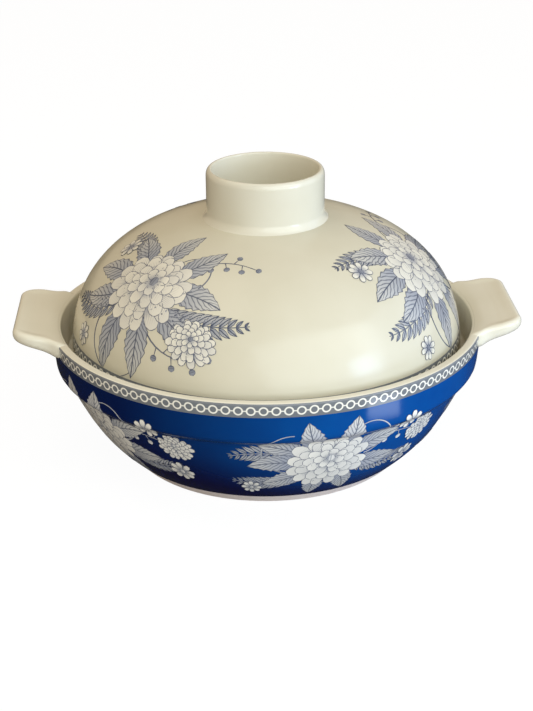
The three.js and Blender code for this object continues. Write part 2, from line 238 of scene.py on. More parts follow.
def linePrint(name, lines, inks):
    finish, tree = newFinish(name)
    bump, gloss = glazeSkin(tree, printSkin)[1:]
    soft, veinEdge = printSkin["softMm"], 0.5 - lines["veinShare"]
    spot = addNode(tree, "ShaderNodeSeparateXYZ",
                   {0: addNode(tree, "ShaderNodeAttribute", attribute_name="spot").outputs["Vector"]})
    span = addNode(tree, "ShaderNodeSeparateXYZ",
                   {0: addNode(tree, "ShaderNodeAttribute", attribute_name="span").outputs["Vector"]})
    across, along, half = spot.outputs
    long, tone = span.outputs[0], span.outputs[1]
    # an inked outline, measured in from both sides and back from the tip
    off = addNode(tree, "ShaderNodeMath", {0: across}, operation="ABSOLUTE").outputs[0]
    inner = addNode(tree, "ShaderNodeMath", {0: 1.0, 1: off}, operation="SUBTRACT").outputs[0]
    fromSide = addNode(tree, "ShaderNodeMath", {0: inner, 1: half}, operation="MULTIPLY").outputs[0]
    ahead = addNode(tree, "ShaderNodeMath", {0: 1.0, 1: along}, operation="SUBTRACT").outputs[0]
    fromTip = addNode(tree, "ShaderNodeMath", {0: ahead, 1: long}, operation="MULTIPLY").outputs[0]
    nearest = addNode(tree, "ShaderNodeMath", {0: fromSide, 1: fromTip}, operation="MINIMUM").outputs[0]
    outline = addNode(tree, "ShaderNodeMapRange",
                      {"Value": nearest, "From Min": lines["lineMm"] + soft,
                       "From Max": lines["lineMm"] - soft}).outputs["Result"]
    # veins: a fan from the base of a petal, chevrons off the rib of a leaf
    climbing = addNode(tree, "ShaderNodeMath", {0: along, 1: lines["chevron"]},
                       operation="MULTIPLY").outputs[0]
    leaning = addNode(tree, "ShaderNodeMath", {0: off, 1: -lines["lean"], 2: climbing},
                      operation="MULTIPLY_ADD").outputs[0]
    phase = addNode(tree, "ShaderNodeMath", {0: across, 1: lines["fan"], 2: leaning},
                    operation="MULTIPLY_ADD").outputs[0]
    toVein = addNode(tree, "ShaderNodeMath", {0: phase, 1: 0.5}, operation="PINGPONG").outputs[0]
    thread = addNode(tree, "ShaderNodeMapRange",
                     {"Value": toVein, "From Min": veinEdge - printSkin["veinSoft"],
                      "From Max": veinEdge + printSkin["veinSoft"]}).outputs["Result"]
    fade = addNode(tree, "ShaderNodeMapRange",
                   {"Value": along, "From Min": lines["fadeTo"], "From Max": lines["fadeFrom"],
                    "To Max": lines["veinInk"]}).outputs["Result"]
    vein = addNode(tree, "ShaderNodeMath", {0: thread, 1: fade}, operation="MULTIPLY").outputs[0]
    fromRib = addNode(tree, "ShaderNodeMath", {0: off, 1: half}, operation="MULTIPLY").outputs[0]
    rib = addNode(tree, "ShaderNodeMapRange",
                  {"Value": fromRib, "From Min": lines["ribMm"] + soft,
                   "From Max": lines["ribMm"] - soft}).outputs["Result"]
    drawn = addNode(tree, "ShaderNodeMath", {0: outline, 1: vein}, operation="MAXIMUM").outputs[0]
    inked = addNode(tree, "ShaderNodeMath", {0: drawn, 1: rib}, operation="MAXIMUM").outputs[0]
    # the ground darkens towards the base, each petal and leaf by its own tone
    base = addNode(tree, "ShaderNodeMapRange",
                   {"Value": along, "From Min": lines["shadeTo"], "From Max": 0.0}).outputs["Result"]
    shaded = addNode(tree, "ShaderNodeMath", {0: base, 1: tone}, operation="ADD", use_clamp=True).outputs[0]
    ground = addNode(tree, "ShaderNodeMix", {0: shaded, 6: linear(inks[0]), 7: linear(inks[1])},
                     data_type="RGBA").outputs[2]
    colour = addNode(tree, "ShaderNodeMix", {0: inked, 6: ground, 7: linear(inks[2])},
                     data_type="RGBA").outputs[2]
    closeFinish(tree, colour, bump, gloss, printSkin)
    return finish


ivory = ivoryGlaze("ivory_glaze", ivoryLook)
# the lid's and the knob's copies are darkened by painted shade
lidShadedIvory = ivoryGlaze("shaded_ivory_glaze", lidShadedLook)
knobShadedIvory = ivoryGlaze("half_shaded_ivory_glaze", knobShadedLook)
cobalt = cobaltGlaze(cobaltLook)
chain = chainBand(chainLook)
clay = bareClay(clayLook)
lidPrint = [linePrint("grey_line_print_" + kind, lines, lidInks[kind])
            for kind, lines in printLines.items()]
bowlPrint = [linePrint("white_print_on_blue_" + kind, lines, bowlInks[kind])
             for kind, lines in printLines.items()]
print("finishes ready")


def curve(start, leave, end, arrive, count):
    # points from start to end, pulled towards the two handles
    found = interpolate_bezier(*[Vector((p[0], 0, p[1])) for p in (start, leave, arrive, end)], count)
    return [(p.x, p.z) for p in found]


quarterPull = 0.5523  # how far a curve's handles reach towards the corner for a quarter of a circle


def rounded(start, tip, end, count=7):
    # a rounded corner between two sides that meet at tip
    near = [a + (b - a) * quarterPull for a, b in zip(start, tip)]
    far = [a + (b - a) * quarterPull for a, b in zip(end, tip)]
    return curve(start, near, end, far, count)


def sloping(degrees):
    # one step down and towards the axis, at that angle from straight down
    return -math.sin(math.radians(degrees)), -math.cos(math.radians(degrees))


def swept(start, leaveDegrees, end, arrive, fullness, count):
    # a curve that leaves at that slope and arrives along the given direction
    pull = math.dist(start, end) * fullness
    leave = sloping(leaveDegrees)
    return curve(start, (start[0] + leave[0] * pull, start[1] + leave[1] * pull), end,
                 (end[0] - arrive[0] * pull, end[1] - arrive[1] * pull), count)


def turned(bm, line, slotIndex, steps):
    # line is radius and height in mm; it is spun once round the pot's axis
    known = len(bm.faces)
    verts = [bm.verts.new((r * mm, 0, z * mm)) for r, z in line]
    edges = [bm.edges.new(pair) for pair in zip(verts, verts[1:])]
    bmesh.ops.spin(bm, geom=verts + edges, cent=(0, 0, 0), axis=(0, 0, 1), angle=fullTurn, steps=steps,
                   use_merge=True)
    bm.faces.ensure_lookup_table()
    for face in bm.faces[known:]:
        face.material_index = slotIndex


def unrolled(bm, slotIndex, rings, topMm, tallMm, shift):
    # the border's own map: one unit along for each ring of the chain, one across for its height
    layer = bm.loops.layers.uv.new("band")
    for face in bm.faces:
        if face.material_index != slotIndex:
            continue
        turns = [math.atan2(c.vert.co.y, c.vert.co.x) / fullTurn % 1 for c in face.loops]
        if max(turns) - min(turns) > 0.5:  # the face where the round closes
            turns = [t + 1 if t < 0.5 else t for t in turns]
        for corner, turn in zip(face.loops, turns):
            corner[layer].uv = (turn * rings + shift, (topMm - corner.vert.co.z / mm) / tallMm)


def makePiece(name, bm, finishes, body, nodes=()):
    mesh = bpy.data.meshes.new(name)
    bm.to_mesh(mesh)
    bm.free()
    for finish in finishes:
        mesh.materials.append(finish)
    mesh.shade_smooth()
    piece = bpy.data.objects.new(name, mesh)
    bpy.context.scene.collection.objects.link(piece)
    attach(piece, body)
    if nodes:
        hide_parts(*nodes)
    print("made", name, len(mesh.polygons), "faces")
    return piece


weldMm = 0.002  # points closer than this are one


def welded(bm):
    bmesh.ops.remove_doubles(bm, verts=bm.verts, dist=weldMm * mm)
    bmesh.ops.recalc_face_normals(bm, faces=bm.faces)


# radii, heights and thicknesses in mm, slopes in degrees, then the numbers of points along the profile
bowl = {"height": 75, "rim": 115.4, "rimWall": 5.4, "rimOuterRound": 1.3, "rimInnerRound": 1.6,
        "wallTall": 19.5, "wallTaper": 1.9, "shoulderStep": 5.1, "shoulderDrop": 6.5, "lean": 25.3,
        "spread": 48, "fullness": 0.38, "foot": 73.5, "footFlare": 6.5, "footTall": 6.5, "footWide": 9,
        "footRound": 1.2, "recess": 4.5, "ledgeRaise": 1.5, "ledgeRound": 1.6, "wall": 8.7, "sweep": 20,
        "floorThick": 7, "floorInset": 9, "underRings": (0, 20, 42), "floorRings": (44, 22, 0),
        "bandTop": 74.7, "bandTall": 7.2, "bandRings": 119, "bandShift": 0.47, "steps": 232,
        "bellyPoints": 30, "stepPoints": 12, "rimPoints": 9, "insidePoints": 26, "wallRows": 5,
        "bandRows": 4}
shoulderZ = bowl["height"] - bowl["wallTall"]
ledgeZ = shoulderZ + bowl["ledgeRaise"]
seat = bowl["rim"] - bowl["rimWall"] - bowl["wallTaper"]


def bowlStretches(b):
    # the profile in order, from under the floor, up the outside, over the rim and down inside
    stand = b["foot"] - b["footWide"]
    footTop = (b["foot"] + b["footFlare"], b["footTall"])
    wallFoot = (b["rim"] - b["wallTaper"], shoulderZ)
    shoulder = (wallFoot[0] - b["shoulderStep"], shoulderZ - b["shoulderDrop"])
    wallLean = math.degrees(math.atan2(b["wallTaper"], b["wallTall"]))
    rimIn = b["rim"] - b["rimWall"]
    ledgeIn = shoulder[0] - b["wall"]
    underLedge = (ledgeIn, ledgeZ - b["ledgeRound"])
    floorZ = b["recess"] + b["floorThick"]
    floorEdge = (b["foot"] - b["floorInset"], floorZ)
    wallTop = (b["rim"], b["height"] - b["rimOuterRound"])
    belly = swept(shoulder, b["lean"], footTop, sloping(b["spread"]), b["fullness"],
                  b["bellyPoints"])[::-1]
    step = swept(wallFoot, wallLean, shoulder, sloping(b["lean"]), b["fullness"], b["stepPoints"])[::-1]
    rimOut = rounded(wallTop, (b["rim"], b["height"]), (b["rim"] - b["rimOuterRound"], b["height"]),
                     b["rimPoints"])
    bandFootZ = b["bandTop"] - b["bandTall"]

    def wallAt(z):
        return b["rim"] - b["wallTaper"] * (wallTop[1] - z) / (wallTop[1] - shoulderZ), z

    under = [(r, b["recess"]) for r in b["underRings"] + (stand - b["recess"],)]
    under.append((stand - b["footRound"], b["footRound"]))
    ring = (rounded((stand - b["footRound"], b["footRound"]), (stand, 0), (stand + b["footRound"], 0))
            + rounded((b["foot"] - b["footRound"], 0), (b["foot"], 0),
                      (b["foot"] + b["footRound"], b["footRound"])))
    footSide = [ring[-1], footTop]
    upper = [wallAt(shoulderZ + (bandFootZ - shoulderZ) * i / b["wallRows"])
             for i in range(1, b["wallRows"] + 1)]
    band = [wallAt(bandFootZ + (wallTop[1] - bandFootZ) * i / b["bandRows"])
            for i in range(b["bandRows"] + 1)]
    # the border ends a little way into the round of the rim
    border = [p for p in rimOut if p[1] <= b["bandTop"]]
    cut = (border[-1][0] + (rimOut[len(border)][0] - border[-1][0])
           * (b["bandTop"] - border[-1][1]) / (rimOut[len(border)][1] - border[-1][1]), b["bandTop"])
    band += border[1:] + [cut]
    rim = ([cut] + rimOut[len(border):]
           + rounded((rimIn + b["rimInnerRound"], b["height"]), (rimIn, b["height"]),
                     (rimIn, b["height"] - b["rimInnerRound"])))
    inside = ([(rimIn - b["wallTaper"] / 2, (rim[-1][1] + ledgeZ) / 2)]
              + rounded((seat, ledgeZ + b["ledgeRound"]), (seat, ledgeZ), (seat - b["ledgeRound"], ledgeZ))
              + rounded((ledgeIn + b["ledgeRound"], ledgeZ), (ledgeIn, ledgeZ), underLedge)
              + swept(underLedge, b["sweep"], floorEdge, (-1, 0), b["fullness"], b["insidePoints"])
              + [(r, floorZ) for r in b["floorRings"]])
    return under, ring, footSide, belly + step[1:] + upper, band, rim + inside


under, ring, footSide, blueWall, border, creamInside = bowlStretches(bowl)
onCream, onBlue, onChain, onClay = range(4)  # places in the bowl's list of finishes
bm = bmesh.new()
for line, slotIndex in ((under, onCream), (ring, onClay), (footSide, onClay), (blueWall, onBlue),
                        (border, onChain), (creamInside, onCream)):
    turned(bm, line, slotIndex, bowl["steps"])
welded(bm)
unrolled(bm, onChain, bowl["bandRings"], bowl["bandTop"], bowl["bandTall"], bowl["bandShift"])
bowlCut = {"halfTurn": 17.2, "below": 68.4}  # the print stops at the handles' roots, in degrees and mm
for face in bm.faces:
    middle = face.calc_center_median() / mm
    aside = math.degrees(math.atan2(abs(middle.y), abs(middle.x)))
    printed = face.material_index in (onBlue, onChain)
    if printed and aside < bowlCut["halfTurn"] and middle.z > bowlCut["below"]:
        face.material_index = onCream
makePiece("bowl", bm, [ivory, cobalt, chain, clay], "pot", ["pot_bowl"])


lid = {"gap": 3.6, "wall": 5.2, "edgeRound": 1.0, "edgeClear": 0.2, "rise": 75.3, "fullness": 2.42,
       "bandTop": 71.6, "bandTall": 7.2, "bandRings": 107, "steps": 224, "domePoints": 56, "edgePoints": 5}
lidRadius = seat - lid["gap"]
crownZ = ledgeZ + lid["rise"]


def domeLine(inset, count):
    # edge to crown, evenly in angle, on a curve a little squarer than an ellipse
    line = []
    for i in range(count + 1):
        angle = i / count * math.pi / 2
        power = 2 / lid["fullness"]
        line.append(((lidRadius - inset) * max(0.0, math.cos(angle)) ** power if i < count else 0.0,
                     ledgeZ + (lid["rise"] - inset) * math.sin(angle) ** power))
    return line


def domeHeight(radius):
    return ledgeZ + lid["rise"] * (1 - (radius / lidRadius) ** lid["fullness"]) ** (1 / lid["fullness"])


def domeRadius(z):
    return lidRadius * (1 - ((z - ledgeZ) / lid["rise"]) ** lid["fullness"]) ** (1 / lid["fullness"])


lidIn = lidRadius - lid["wall"]
edge = lid["edgeRound"]
clearOfEdge = ledgeZ + edge + lid["edgeClear"]
hollow = [p for p in domeLine(lid["wall"], lid["domePoints"]) if p[1] > clearOfEdge][::-1]
skin = [p for p in domeLine(0, lid["domePoints"]) if p[1] > clearOfEdge]
seatLine = (hollow[-1:]
            + rounded((lidIn, ledgeZ + edge), (lidIn, ledgeZ), (lidIn + edge, ledgeZ), lid["edgePoints"])
            + rounded((lidRadius - edge, ledgeZ), (lidRadius, ledgeZ), (lidRadius, ledgeZ + edge),
                      lid["edgePoints"]))
bandFoot = lid["bandTop"] - lid["bandTall"]
belowBand = seatLine[-1:] + [p for p in skin if p[1] < bandFoot] + [(domeRadius(bandFoot), bandFoot)]
onBand = (belowBand[-1:] + [p for p in skin if bandFoot < p[1] < lid["bandTop"]]
          + [(domeRadius(lid["bandTop"]), lid["bandTop"])])
aboveBand = onBand[-1:] + [p for p in skin if p[1] > lid["bandTop"]]
lidCream, lidChain = range(2)  # places in the lid's list of finishes
bm = bmesh.new()
for line, slotIndex in ((hollow, lidCream), (seatLine, lidCream), (belowBand, lidCream), (onBand, lidChain),
                        (aboveBand, lidCream)):
    turned(bm, line, slotIndex, lid["steps"])
welded(bm)
unrolled(bm, lidChain, lid["bandRings"], lid["bandTop"], lid["bandTall"], 0)
makePiece("lid_dome_glazed", bm, [lidShadedIvory, chain], "lid", ["lid_dome"])


knob = {"radius": 31, "wall": 3, "tall": 24.3, "flare": 2.6, "flareTall": 5, "sunk": 0.5,
        "lipDrop": 3.6, "lipInner": 0.9, "steps": 128, "baseRows": 6, "flarePoints": 10, "wallRows": 4,
        "lipPoints": 9, "innerPoints": 5, "boreRows": 5}


def knobLine(k):
    # the foot that sits in the dome, then the outside, the lip and the bore
    top = crownZ + k["tall"]
    inner = k["radius"] - k["wall"]
    wide = k["radius"] + k["flare"]
    rings = [inner + (wide - inner) * i / k["baseRows"] for i in range(k["baseRows"] + 1)]
    base = [(r, domeHeight(r) - k["sunk"]) for r in rings]
    low = base[-1]
    flareTop = (k["radius"], low[1] + k["flareTall"])
    flareTurn = (k["radius"], low[1] + k["flareTall"] - k["flare"])
    flare = rounded(low, flareTurn, flareTop, k["flarePoints"])
    bend = top - k["lipDrop"]
    wall = [(k["radius"], flareTop[1] + (bend - flareTop[1]) * i / k["wallRows"])
            for i in range(1, k["wallRows"] + 1)]
    crest = inner + k["lipInner"]
    mouth = (rounded((k["radius"], bend), (k["radius"], top), (crest, top), k["lipPoints"])
             + rounded((crest, top), (inner, top), (inner, top - k["lipInner"]), k["innerPoints"])[1:])
    bore = [(inner, mouth[-1][1] + (base[0][1] - mouth[-1][1]) * i / k["boreRows"])
            for i in range(1, k["boreRows"] + 1)]
    return base, flare + wall + mouth[1:] + bore


bm = bmesh.new()
for line in knobLine(knob):
    turned(bm, line, 0, knob["steps"])
welded(bm)
makePiece("ring_knob", bm, [knobShadedIvory], "lid", ["lid_collar"])


handle = {"reach": 18, "rootWide": 71, "tipWide": 71, "corner": 11, "rootSpread": 3, "spreadOver": 0.4,
          "spreadFall": 3, "rise": 5.7, "rootLift": 2, "climbEase": 4, "topBow": 1.6, "lowBow": 1.8,
          "tipThick": 7, "rootThick": 7.5, "inWall": 4.65, "sunk": 0.3, "topRound": 2.7, "lowRound": 3.5,
          "dish": 0.7, "dishFrom": 2.2, "dishTo": 8.0, "dishRate": 2.5, "flattest": 0.02, "across": 44,
          "along": 34}


def handlePlace(h, s, t, top):
    # s runs across from -1 to 1 and t out from inside the wall to the straight tip, close-set at the
    # edges; the inset is how far a point lies from the handle's outline
    tip = bowl["rim"] + h["reach"]
    along = math.sin(t * math.pi / 2)
    hidden = h["inWall"] / (h["inWall"] + h["reach"])
    out = max(0.0, (along - hidden) / (1 - hidden))
    cornerFrom = 1 - h["corner"] / h["reach"]
    nose = max(0.0, (out - cornerFrom) / (1 - cornerFrom))
    half = (h["rootWide"] + (h["tipWide"] - h["rootWide"]) * out) / 2
    half += h["rootSpread"] * max(0.0, 1 - out / h["spreadOver"]) ** h["spreadFall"]
    half -= h["corner"] * (1 - math.sqrt(max(0.0, 1 - nose ** 2)))
    side = math.sin(s * math.pi / 2)
    y = side * half
    root = math.sqrt((bowl["rim"] - h["inWall"]) ** 2 - y * y)
    x = root + (tip - root) * along
    slope = nose / math.sqrt(max(h["flattest"], 1 - nose ** 2))
    inset = min((1 - abs(side)) * half / math.hypot(1, slope), tip - x)
    # the top starts in the round of the rim's inner edge and climbs over the rim, quickest at first, to its
    # lift at the wall's face
    climb = min(1.0, along / hidden)
    ease = h["climbEase"]
    topZ = bowl["height"] - h["sunk"] + (h["rootLift"] + h["sunk"]) * climb * (ease - climb) / (ease - 1)
    topZ += (h["rise"] - h["rootLift"]) * (1 - (1 - out) ** h["topBow"])
    lowZ = (bowl["height"] - h["rootThick"]
            + (h["rootThick"] - h["tipThick"] + h["rise"]) * (1 - (1 - out) ** h["lowBow"]))
    if top:
        bend = max(0.0, 1 - inset / h["topRound"])
        z = topZ - h["topRound"] * (1 - math.sqrt(1 - bend ** 2))
        sunk = min(1.0, max(0.0, (inset - h["dishFrom"]) / (h["dishTo"] - h["dishFrom"])))
        z -= h["dish"] * sunk * sunk * (3 - 2 * sunk) * min(1.0, out * h["dishRate"])
    else:
        bend = max(0.0, 1 - inset / h["lowRound"])
        z = lowZ + h["lowRound"] * (1 - math.sqrt(1 - bend ** 2))
    return Vector((x, y, z)) * mm


def makeHandle(name, node, turn):
    # two grids, the top and the underside, joined round their edges
    bm = bmesh.new()
    loops = []
    for top in (True, False):
        grid = bmesh.ops.create_grid(bm, x_segments=handle["across"], y_segments=handle["along"],
                                     size=1)["verts"]
        loops += [e for e in {e for v in grid for e in v.link_edges} if e.is_boundary]
        for vert in grid:
            vert.co = handlePlace(handle, vert.co.x, (vert.co.y + 1) / 2, top)
    bmesh.ops.bridge_loops(bm, edges=loops)
    bmesh.ops.rotate(bm, verts=bm.verts, matrix=Matrix.Rotation(turn, 3, "Z"))
    welded(bm)
    makePiece(name, bm, [ivory], "pot", [node])


makeHandle("lug_right", "handle_right", 0)
makeHandle("lug_left", "handle_left", math.pi)


# the transfer print: thin films on the glaze, each petal or leaf drawn as a strip along a bent line
film = {"liftMm": 0.09, "layerMm": 0.016, "layerStray": 0.4, "thickMm": 0.08, "rowMm": 4.0, "rowDegrees": 8,
        "petalCrowd": 1.6, "weldMm": 0.004, "sharpDegrees": 40}
petalShape = {"base": 0.34, "widest": 0.62, "tip": 2.4, "blunt": 0.06}
leafShape = {"forward": 0.8, "full": 0.9, "teeth": 7, "notch": 0.22}
stemTaper = 0.55


def petalHalf(t):
    # widens from a narrow base and closes in a blunt round tip
    widest = petalShape["widest"]
    swell = petalShape["base"] + (1 - petalShape["base"]) * math.sin(min(1.0, t / widest) * math.pi / 2)
    closing = max(0.0, (t - widest) / (1 - widest)) ** petalShape["tip"]
    return swell * math.sqrt(max(petalShape["blunt"], 1 - closing))


def bladeHalf(t):
    return math.sin(math.pi * t ** leafShape["forward"])


# half the width of a motif as a share of its widest, from 0 at its base to 1 at its tip
outlines = {
    "petal": petalHalf,
    "leaf": lambda t: (bladeHalf(t) ** leafShape["full"]
                       * (1 - leafShape["notch"] * (t * leafShape["teeth"] % 1))),
    "blade": bladeHalf,
    "disc": lambda t: math.sqrt(max(0.0, 1 - (2 * t - 1) ** 2)),
    "stem": lambda t: 1 - stemTaper * t,
}
# which finish a motif takes, its columns, and the fewest rows that hold its outline
motifs = {"petal": (0, 3, 5), "leaf": (1, 4, 21), "blade": (1, 2, 4), "disc": (2, 4, 5), "stem": (2, 2, 8)}


def domeSheet(turnDegrees, dropDegrees):
    # a flat sheet laid on the dome, its middle at a turn from the front and a drop from the crown
    turn, drop = math.radians(turnDegrees - 90), math.radians(dropDegrees)
    out = Vector((math.cos(turn) * math.sin(drop), math.sin(turn) * math.sin(drop), math.cos(drop)))
    right = Vector((-math.sin(turn), math.cos(turn), 0))
    up = out.cross(right)
    power = lid["fullness"]

    def reach(d):
        flat = math.hypot(d.x, d.y)
        return ((flat / lidRadius) ** power + (max(0.0, d.z) / lid["rise"]) ** power) ** (-1 / power)

    scale = reach(out)

    def place(x, y, lift):
        far = math.hypot(x, y) / scale
        aside = (right * x + up * y) / scale
        d = out * math.cos(far) + aside * (math.sin(far) / far if far > tiny else 1.0)
        spot = d * reach(d)
        flat = math.hypot(spot.x, spot.y)
        steep = (flat / lidRadius) ** (power - 1) / lidRadius / max(flat, tiny)
        normal = Vector((spot.x * steep, spot.y * steep,
                         (spot.z / lid["rise"]) ** (power - 1) / lid["rise"]))
        return (spot + Vector((0, 0, ledgeZ)) + normal.normalized() * lift) * mm

    return place


wallClimb = [0.0]  # how far each point of the blue wall is from the foot, along the glaze
for lower, upper in zip(blueWall, blueWall[1:]):
    wallClimb.append(wallClimb[-1] + math.dist(lower, upper))
foldSpare = 0.5  # mm past the shoulder in which the film still folds
shoulderFolds = [climb for climb, spot in zip(wallClimb, blueWall)
                 if shoulderZ - bowl["shoulderDrop"] - foldSpare < spot[1] < shoulderZ + foldSpare]


def bowlSheet(turnDegrees):
    # the same on the bowl: x runs round it and y up the wall from the foot, both along the glaze
    def place(x, y, lift):
        i = max(0, min(len(blueWall) - 2, sum(1 for c in wallClimb if c <= y) - 1))
        (r0, z0), (r1, z1) = blueWall[i], blueWall[i + 1]
        step = wallClimb[i + 1] - wallClimb[i]
        share = (y - wallClimb[i]) / step
        r = r0 + (r1 - r0) * share + (z1 - z0) / step * lift
        z = z0 + (z1 - z0) * share - (r1 - r0) / step * lift
        turn = math.radians(turnDegrees - 90) + x / bowl["rim"]
        return Vector((r * math.cos(turn), r * math.sin(turn), z)) * mm

    return place


def bentLine(at, heading, long, bend, share):
    # the point that far along a line that bends evenly
    swing = math.radians(bend) * share
    chord = long * share * (math.sin(swing / 2) / (swing / 2) if abs(swing) > tiny else 1.0)
    way = math.radians(heading) + swing / 2
    return at[0] + chord * math.cos(way), at[1] + chord * math.sin(way)


# sizes of the motifs: mm for what doesn't grow with a motif, shares of its size for what does, and degrees.
# A ring of a bloom has its number of petals, where they start and end, and half their width
bloomLook = {"rings": ((15, 0.40, 1.0, 0.165), (13, 0.25, 0.81, 0.15), (10, 0.12, 0.60, 0.14),
                       (7, 0.03, 0.38, 0.115)),
             "squash": 0.86, "turnStray": 5, "longStray": (0.9, 1.08), "wideStray": (0.92, 1.1),
             "bendStray": 14, "toneStray": 0.22, "eyeLean": 3.2, "eyeLong": 0.2, "eyeHalf": 0.1}
leafTone = 0.35  # how much darker a leaf may be than the next
fernLook = {"stemHalf": 0.45, "bare": 0.6, "blade": 8.5, "least": 1.6, "swellFrom": 0.18, "swellOver": 0.75,
            "slim": 0.2, "splay": 52, "bend": 22, "toneStray": 0.3}
berryLook = {"stemHalf": 0.4, "from": 0.35, "over": 0.65, "splay": 70, "stalk": 3.4, "stalkHalf": 0.3,
             "berry": 3.4, "berryHalf": 1.7}
daisyLook = {"petals": 8, "turnStray": 6, "hole": 0.2, "long": 0.8, "half": 0.26, "eyeLong": 0.44,
             "eyeHalf": 0.22}


class Spray:
    # one sheet of the print, drawn flat in mm and then laid on the glaze; later layers lie on earlier ones
    def __init__(self, place, seed, folds=()):
        self.bm = bmesh.new()
        self.spot = self.bm.verts.layers.float_vector.new("spot")
        self.span = self.bm.verts.layers.float_vector.new("span")
        self.flat = self.bm.verts.layers.float_vector.new("flat")
        self.place, self.dice, self.folds, self.layer = place, random.Random(seed), folds, 0.0

    def draw(self, kind, at, heading, long, wide, bend=0.0, tone=0.0):
        slotIndex, columns, rows = motifs[kind]
        rows = max(rows, math.ceil(long / film["rowMm"]), math.ceil(abs(bend) / film["rowDegrees"]))
        grid = bmesh.ops.create_grid(self.bm, x_segments=columns, y_segments=rows, size=1)["verts"]
        stray = self.dice.uniform(0, film["layerStray"])
        lift = film["liftMm"] + film["layerMm"] * self.layer + stray * film["layerMm"]
        for face in {f for v in grid for f in v.link_faces}:
            face.material_index = slotIndex
        for vert in grid:
            across, along = vert.co.x, (vert.co.y + 1) / 2
            if kind == "petal":
                along = 1 - (1 - along) ** film["petalCrowd"]
            middle = bentLine(at, heading, long, bend, along)
            facing = math.radians(heading) + math.radians(bend) * along
            half = wide * outlines[kind](along)
            vert[self.spot] = (across, along, half)
            vert[self.span] = (long, tone, 0)
            vert.co = (middle[0] + across * half * math.sin(facing),
                       middle[1] - across * half * math.cos(facing), lift)
        bmesh.ops.remove_doubles(self.bm, verts=grid, dist=film["weldMm"])

    def bloom(self, at, size, leanX, leanY):
        # rings of petals from the outside in, the inner ones drawn over to the side the flower leans to
        look, dice = bloomLook, self.dice
        for number, (count, near, far, wide) in enumerate(look["rings"]):
            self.layer += 1
            for i in range(count):
                turn = math.radians(360 * (i + 0.5 * (number % 2)) / count
                                    + dice.uniform(-look["turnStray"], look["turnStray"]))
                c, s = math.cos(turn), math.sin(turn) * look["squash"]
                start = (at[0] + size * (near * c + leanX * number),
                         at[1] + size * (near * s + leanY * number))
                reach = (far - near) * math.hypot(c, s) * dice.uniform(*look["longStray"])
                self.draw("petal", start, math.degrees(math.atan2(s, c)), size * reach,
                          size * wide * dice.uniform(*look["wideStray"]),
                          dice.uniform(-look["bendStray"], look["bendStray"]),
                          dice.uniform(0, look["toneStray"]))
        self.layer += 1
        eye = (at[0] + size * leanX * look["eyeLean"] - size * look["eyeHalf"],
               at[1] + size * leanY * look["eyeLean"])
        self.draw("disc", eye, 0, size * look["eyeLong"], size * look["eyeHalf"])
        self.layer += 1

    def fern(self, at, heading, long, bend, pairs):
        look = fernLook
        self.draw("stem", at, heading, long, look["stemHalf"], bend)
        for i in range(1, pairs + 1):
            share = i / (pairs + look["bare"])
            spot, facing = bentLine(at, heading, long, bend, share), heading + bend * share
            swell = math.sin(math.pi * (look["swellFrom"] + look["swellOver"] * i / pairs))
            size = look["blade"] * swell + look["least"]
            for side in (-1, 1):
                self.draw("blade", spot, facing + side * look["splay"], size, size * look["slim"],
                          -side * look["bend"], self.dice.uniform(0, look["toneStray"]))

    def berries(self, at, heading, long, bend, count):
        # stalks to both sides by turns, and the last one straight on
        look = berryLook
        self.draw("stem", at, heading, long, look["stemHalf"], bend)
        for i in range(count):
            share = look["from"] + look["over"] * i / (count - 1)
            spot, facing = bentLine(at, heading, long, bend, share), heading + bend * share
            splay = (look["splay"] if i % 2 else -look["splay"]) * (i < count - 1)
            turn = math.radians(facing + splay)
            end = (spot[0] + look["stalk"] * math.cos(turn), spot[1] + look["stalk"] * math.sin(turn))
            self.draw("stem", spot, math.degrees(turn), look["stalk"], look["stalkHalf"])
            self.draw("disc", end, math.degrees(turn), look["berry"], look["berryHalf"])

    def daisy(self, at, size):
        look = daisyLook
        for i in range(look["petals"]):
            turn = 360 / look["petals"] * i + self.dice.uniform(-look["turnStray"], look["turnStray"])
            start = (at[0] + look["hole"] * size * math.cos(math.radians(turn)),
                     at[1] + look["hole"] * size * math.sin(math.radians(turn)))
            self.draw("petal", start, turn, size * look["long"], size * look["half"])
        self.layer += 1
        self.draw("disc", (at[0] - size * look["eyeHalf"], at[1]), 0, size * look["eyeLong"],
                  size * look["eyeHalf"])

    def cutAcross(self, at, normal, **settings):
        bmesh.ops.bisect_plane(self.bm, geom=self.bm.verts[:] + self.bm.edges[:] + self.bm.faces[:],
                               plane_co=at, plane_no=normal, **settings)

    def finish(self, name, body, slotName, finishes, cuts):
        for fold in self.folds:
            # the film bends where the glaze under it bends; it is still flat and in mm here
            self.cutAcross((0, fold, 0), (0, 1, 0), dist=1e-4)
        for vert in self.bm.verts:
            vert[self.flat] = vert.co
            vert.co = self.place(*vert.co)
        for height, upwards in cuts:
            # the print stops at the border and at the foot
            self.cutAcross((0, 0, height * mm), (0, 0, 1 if upwards else -1), clear_outer=True, dist=1e-7)
        # the film's underside lies nearer the glaze
        for under in bmesh.ops.extrude_face_region(self.bm, geom=self.bm.faces[:])["geom"]:
            if isinstance(under, bmesh.types.BMVert):
                x, y, lift = under[self.flat]
                under.co = self.place(x, y, lift - film["thickMm"])
        bmesh.ops.recalc_face_normals(self.bm, faces=self.bm.faces)
        piece = makePiece(name, self.bm, finishes, body)
        piece.data.set_sharp_from_angle(angle=math.radians(film["sharpDegrees"]))


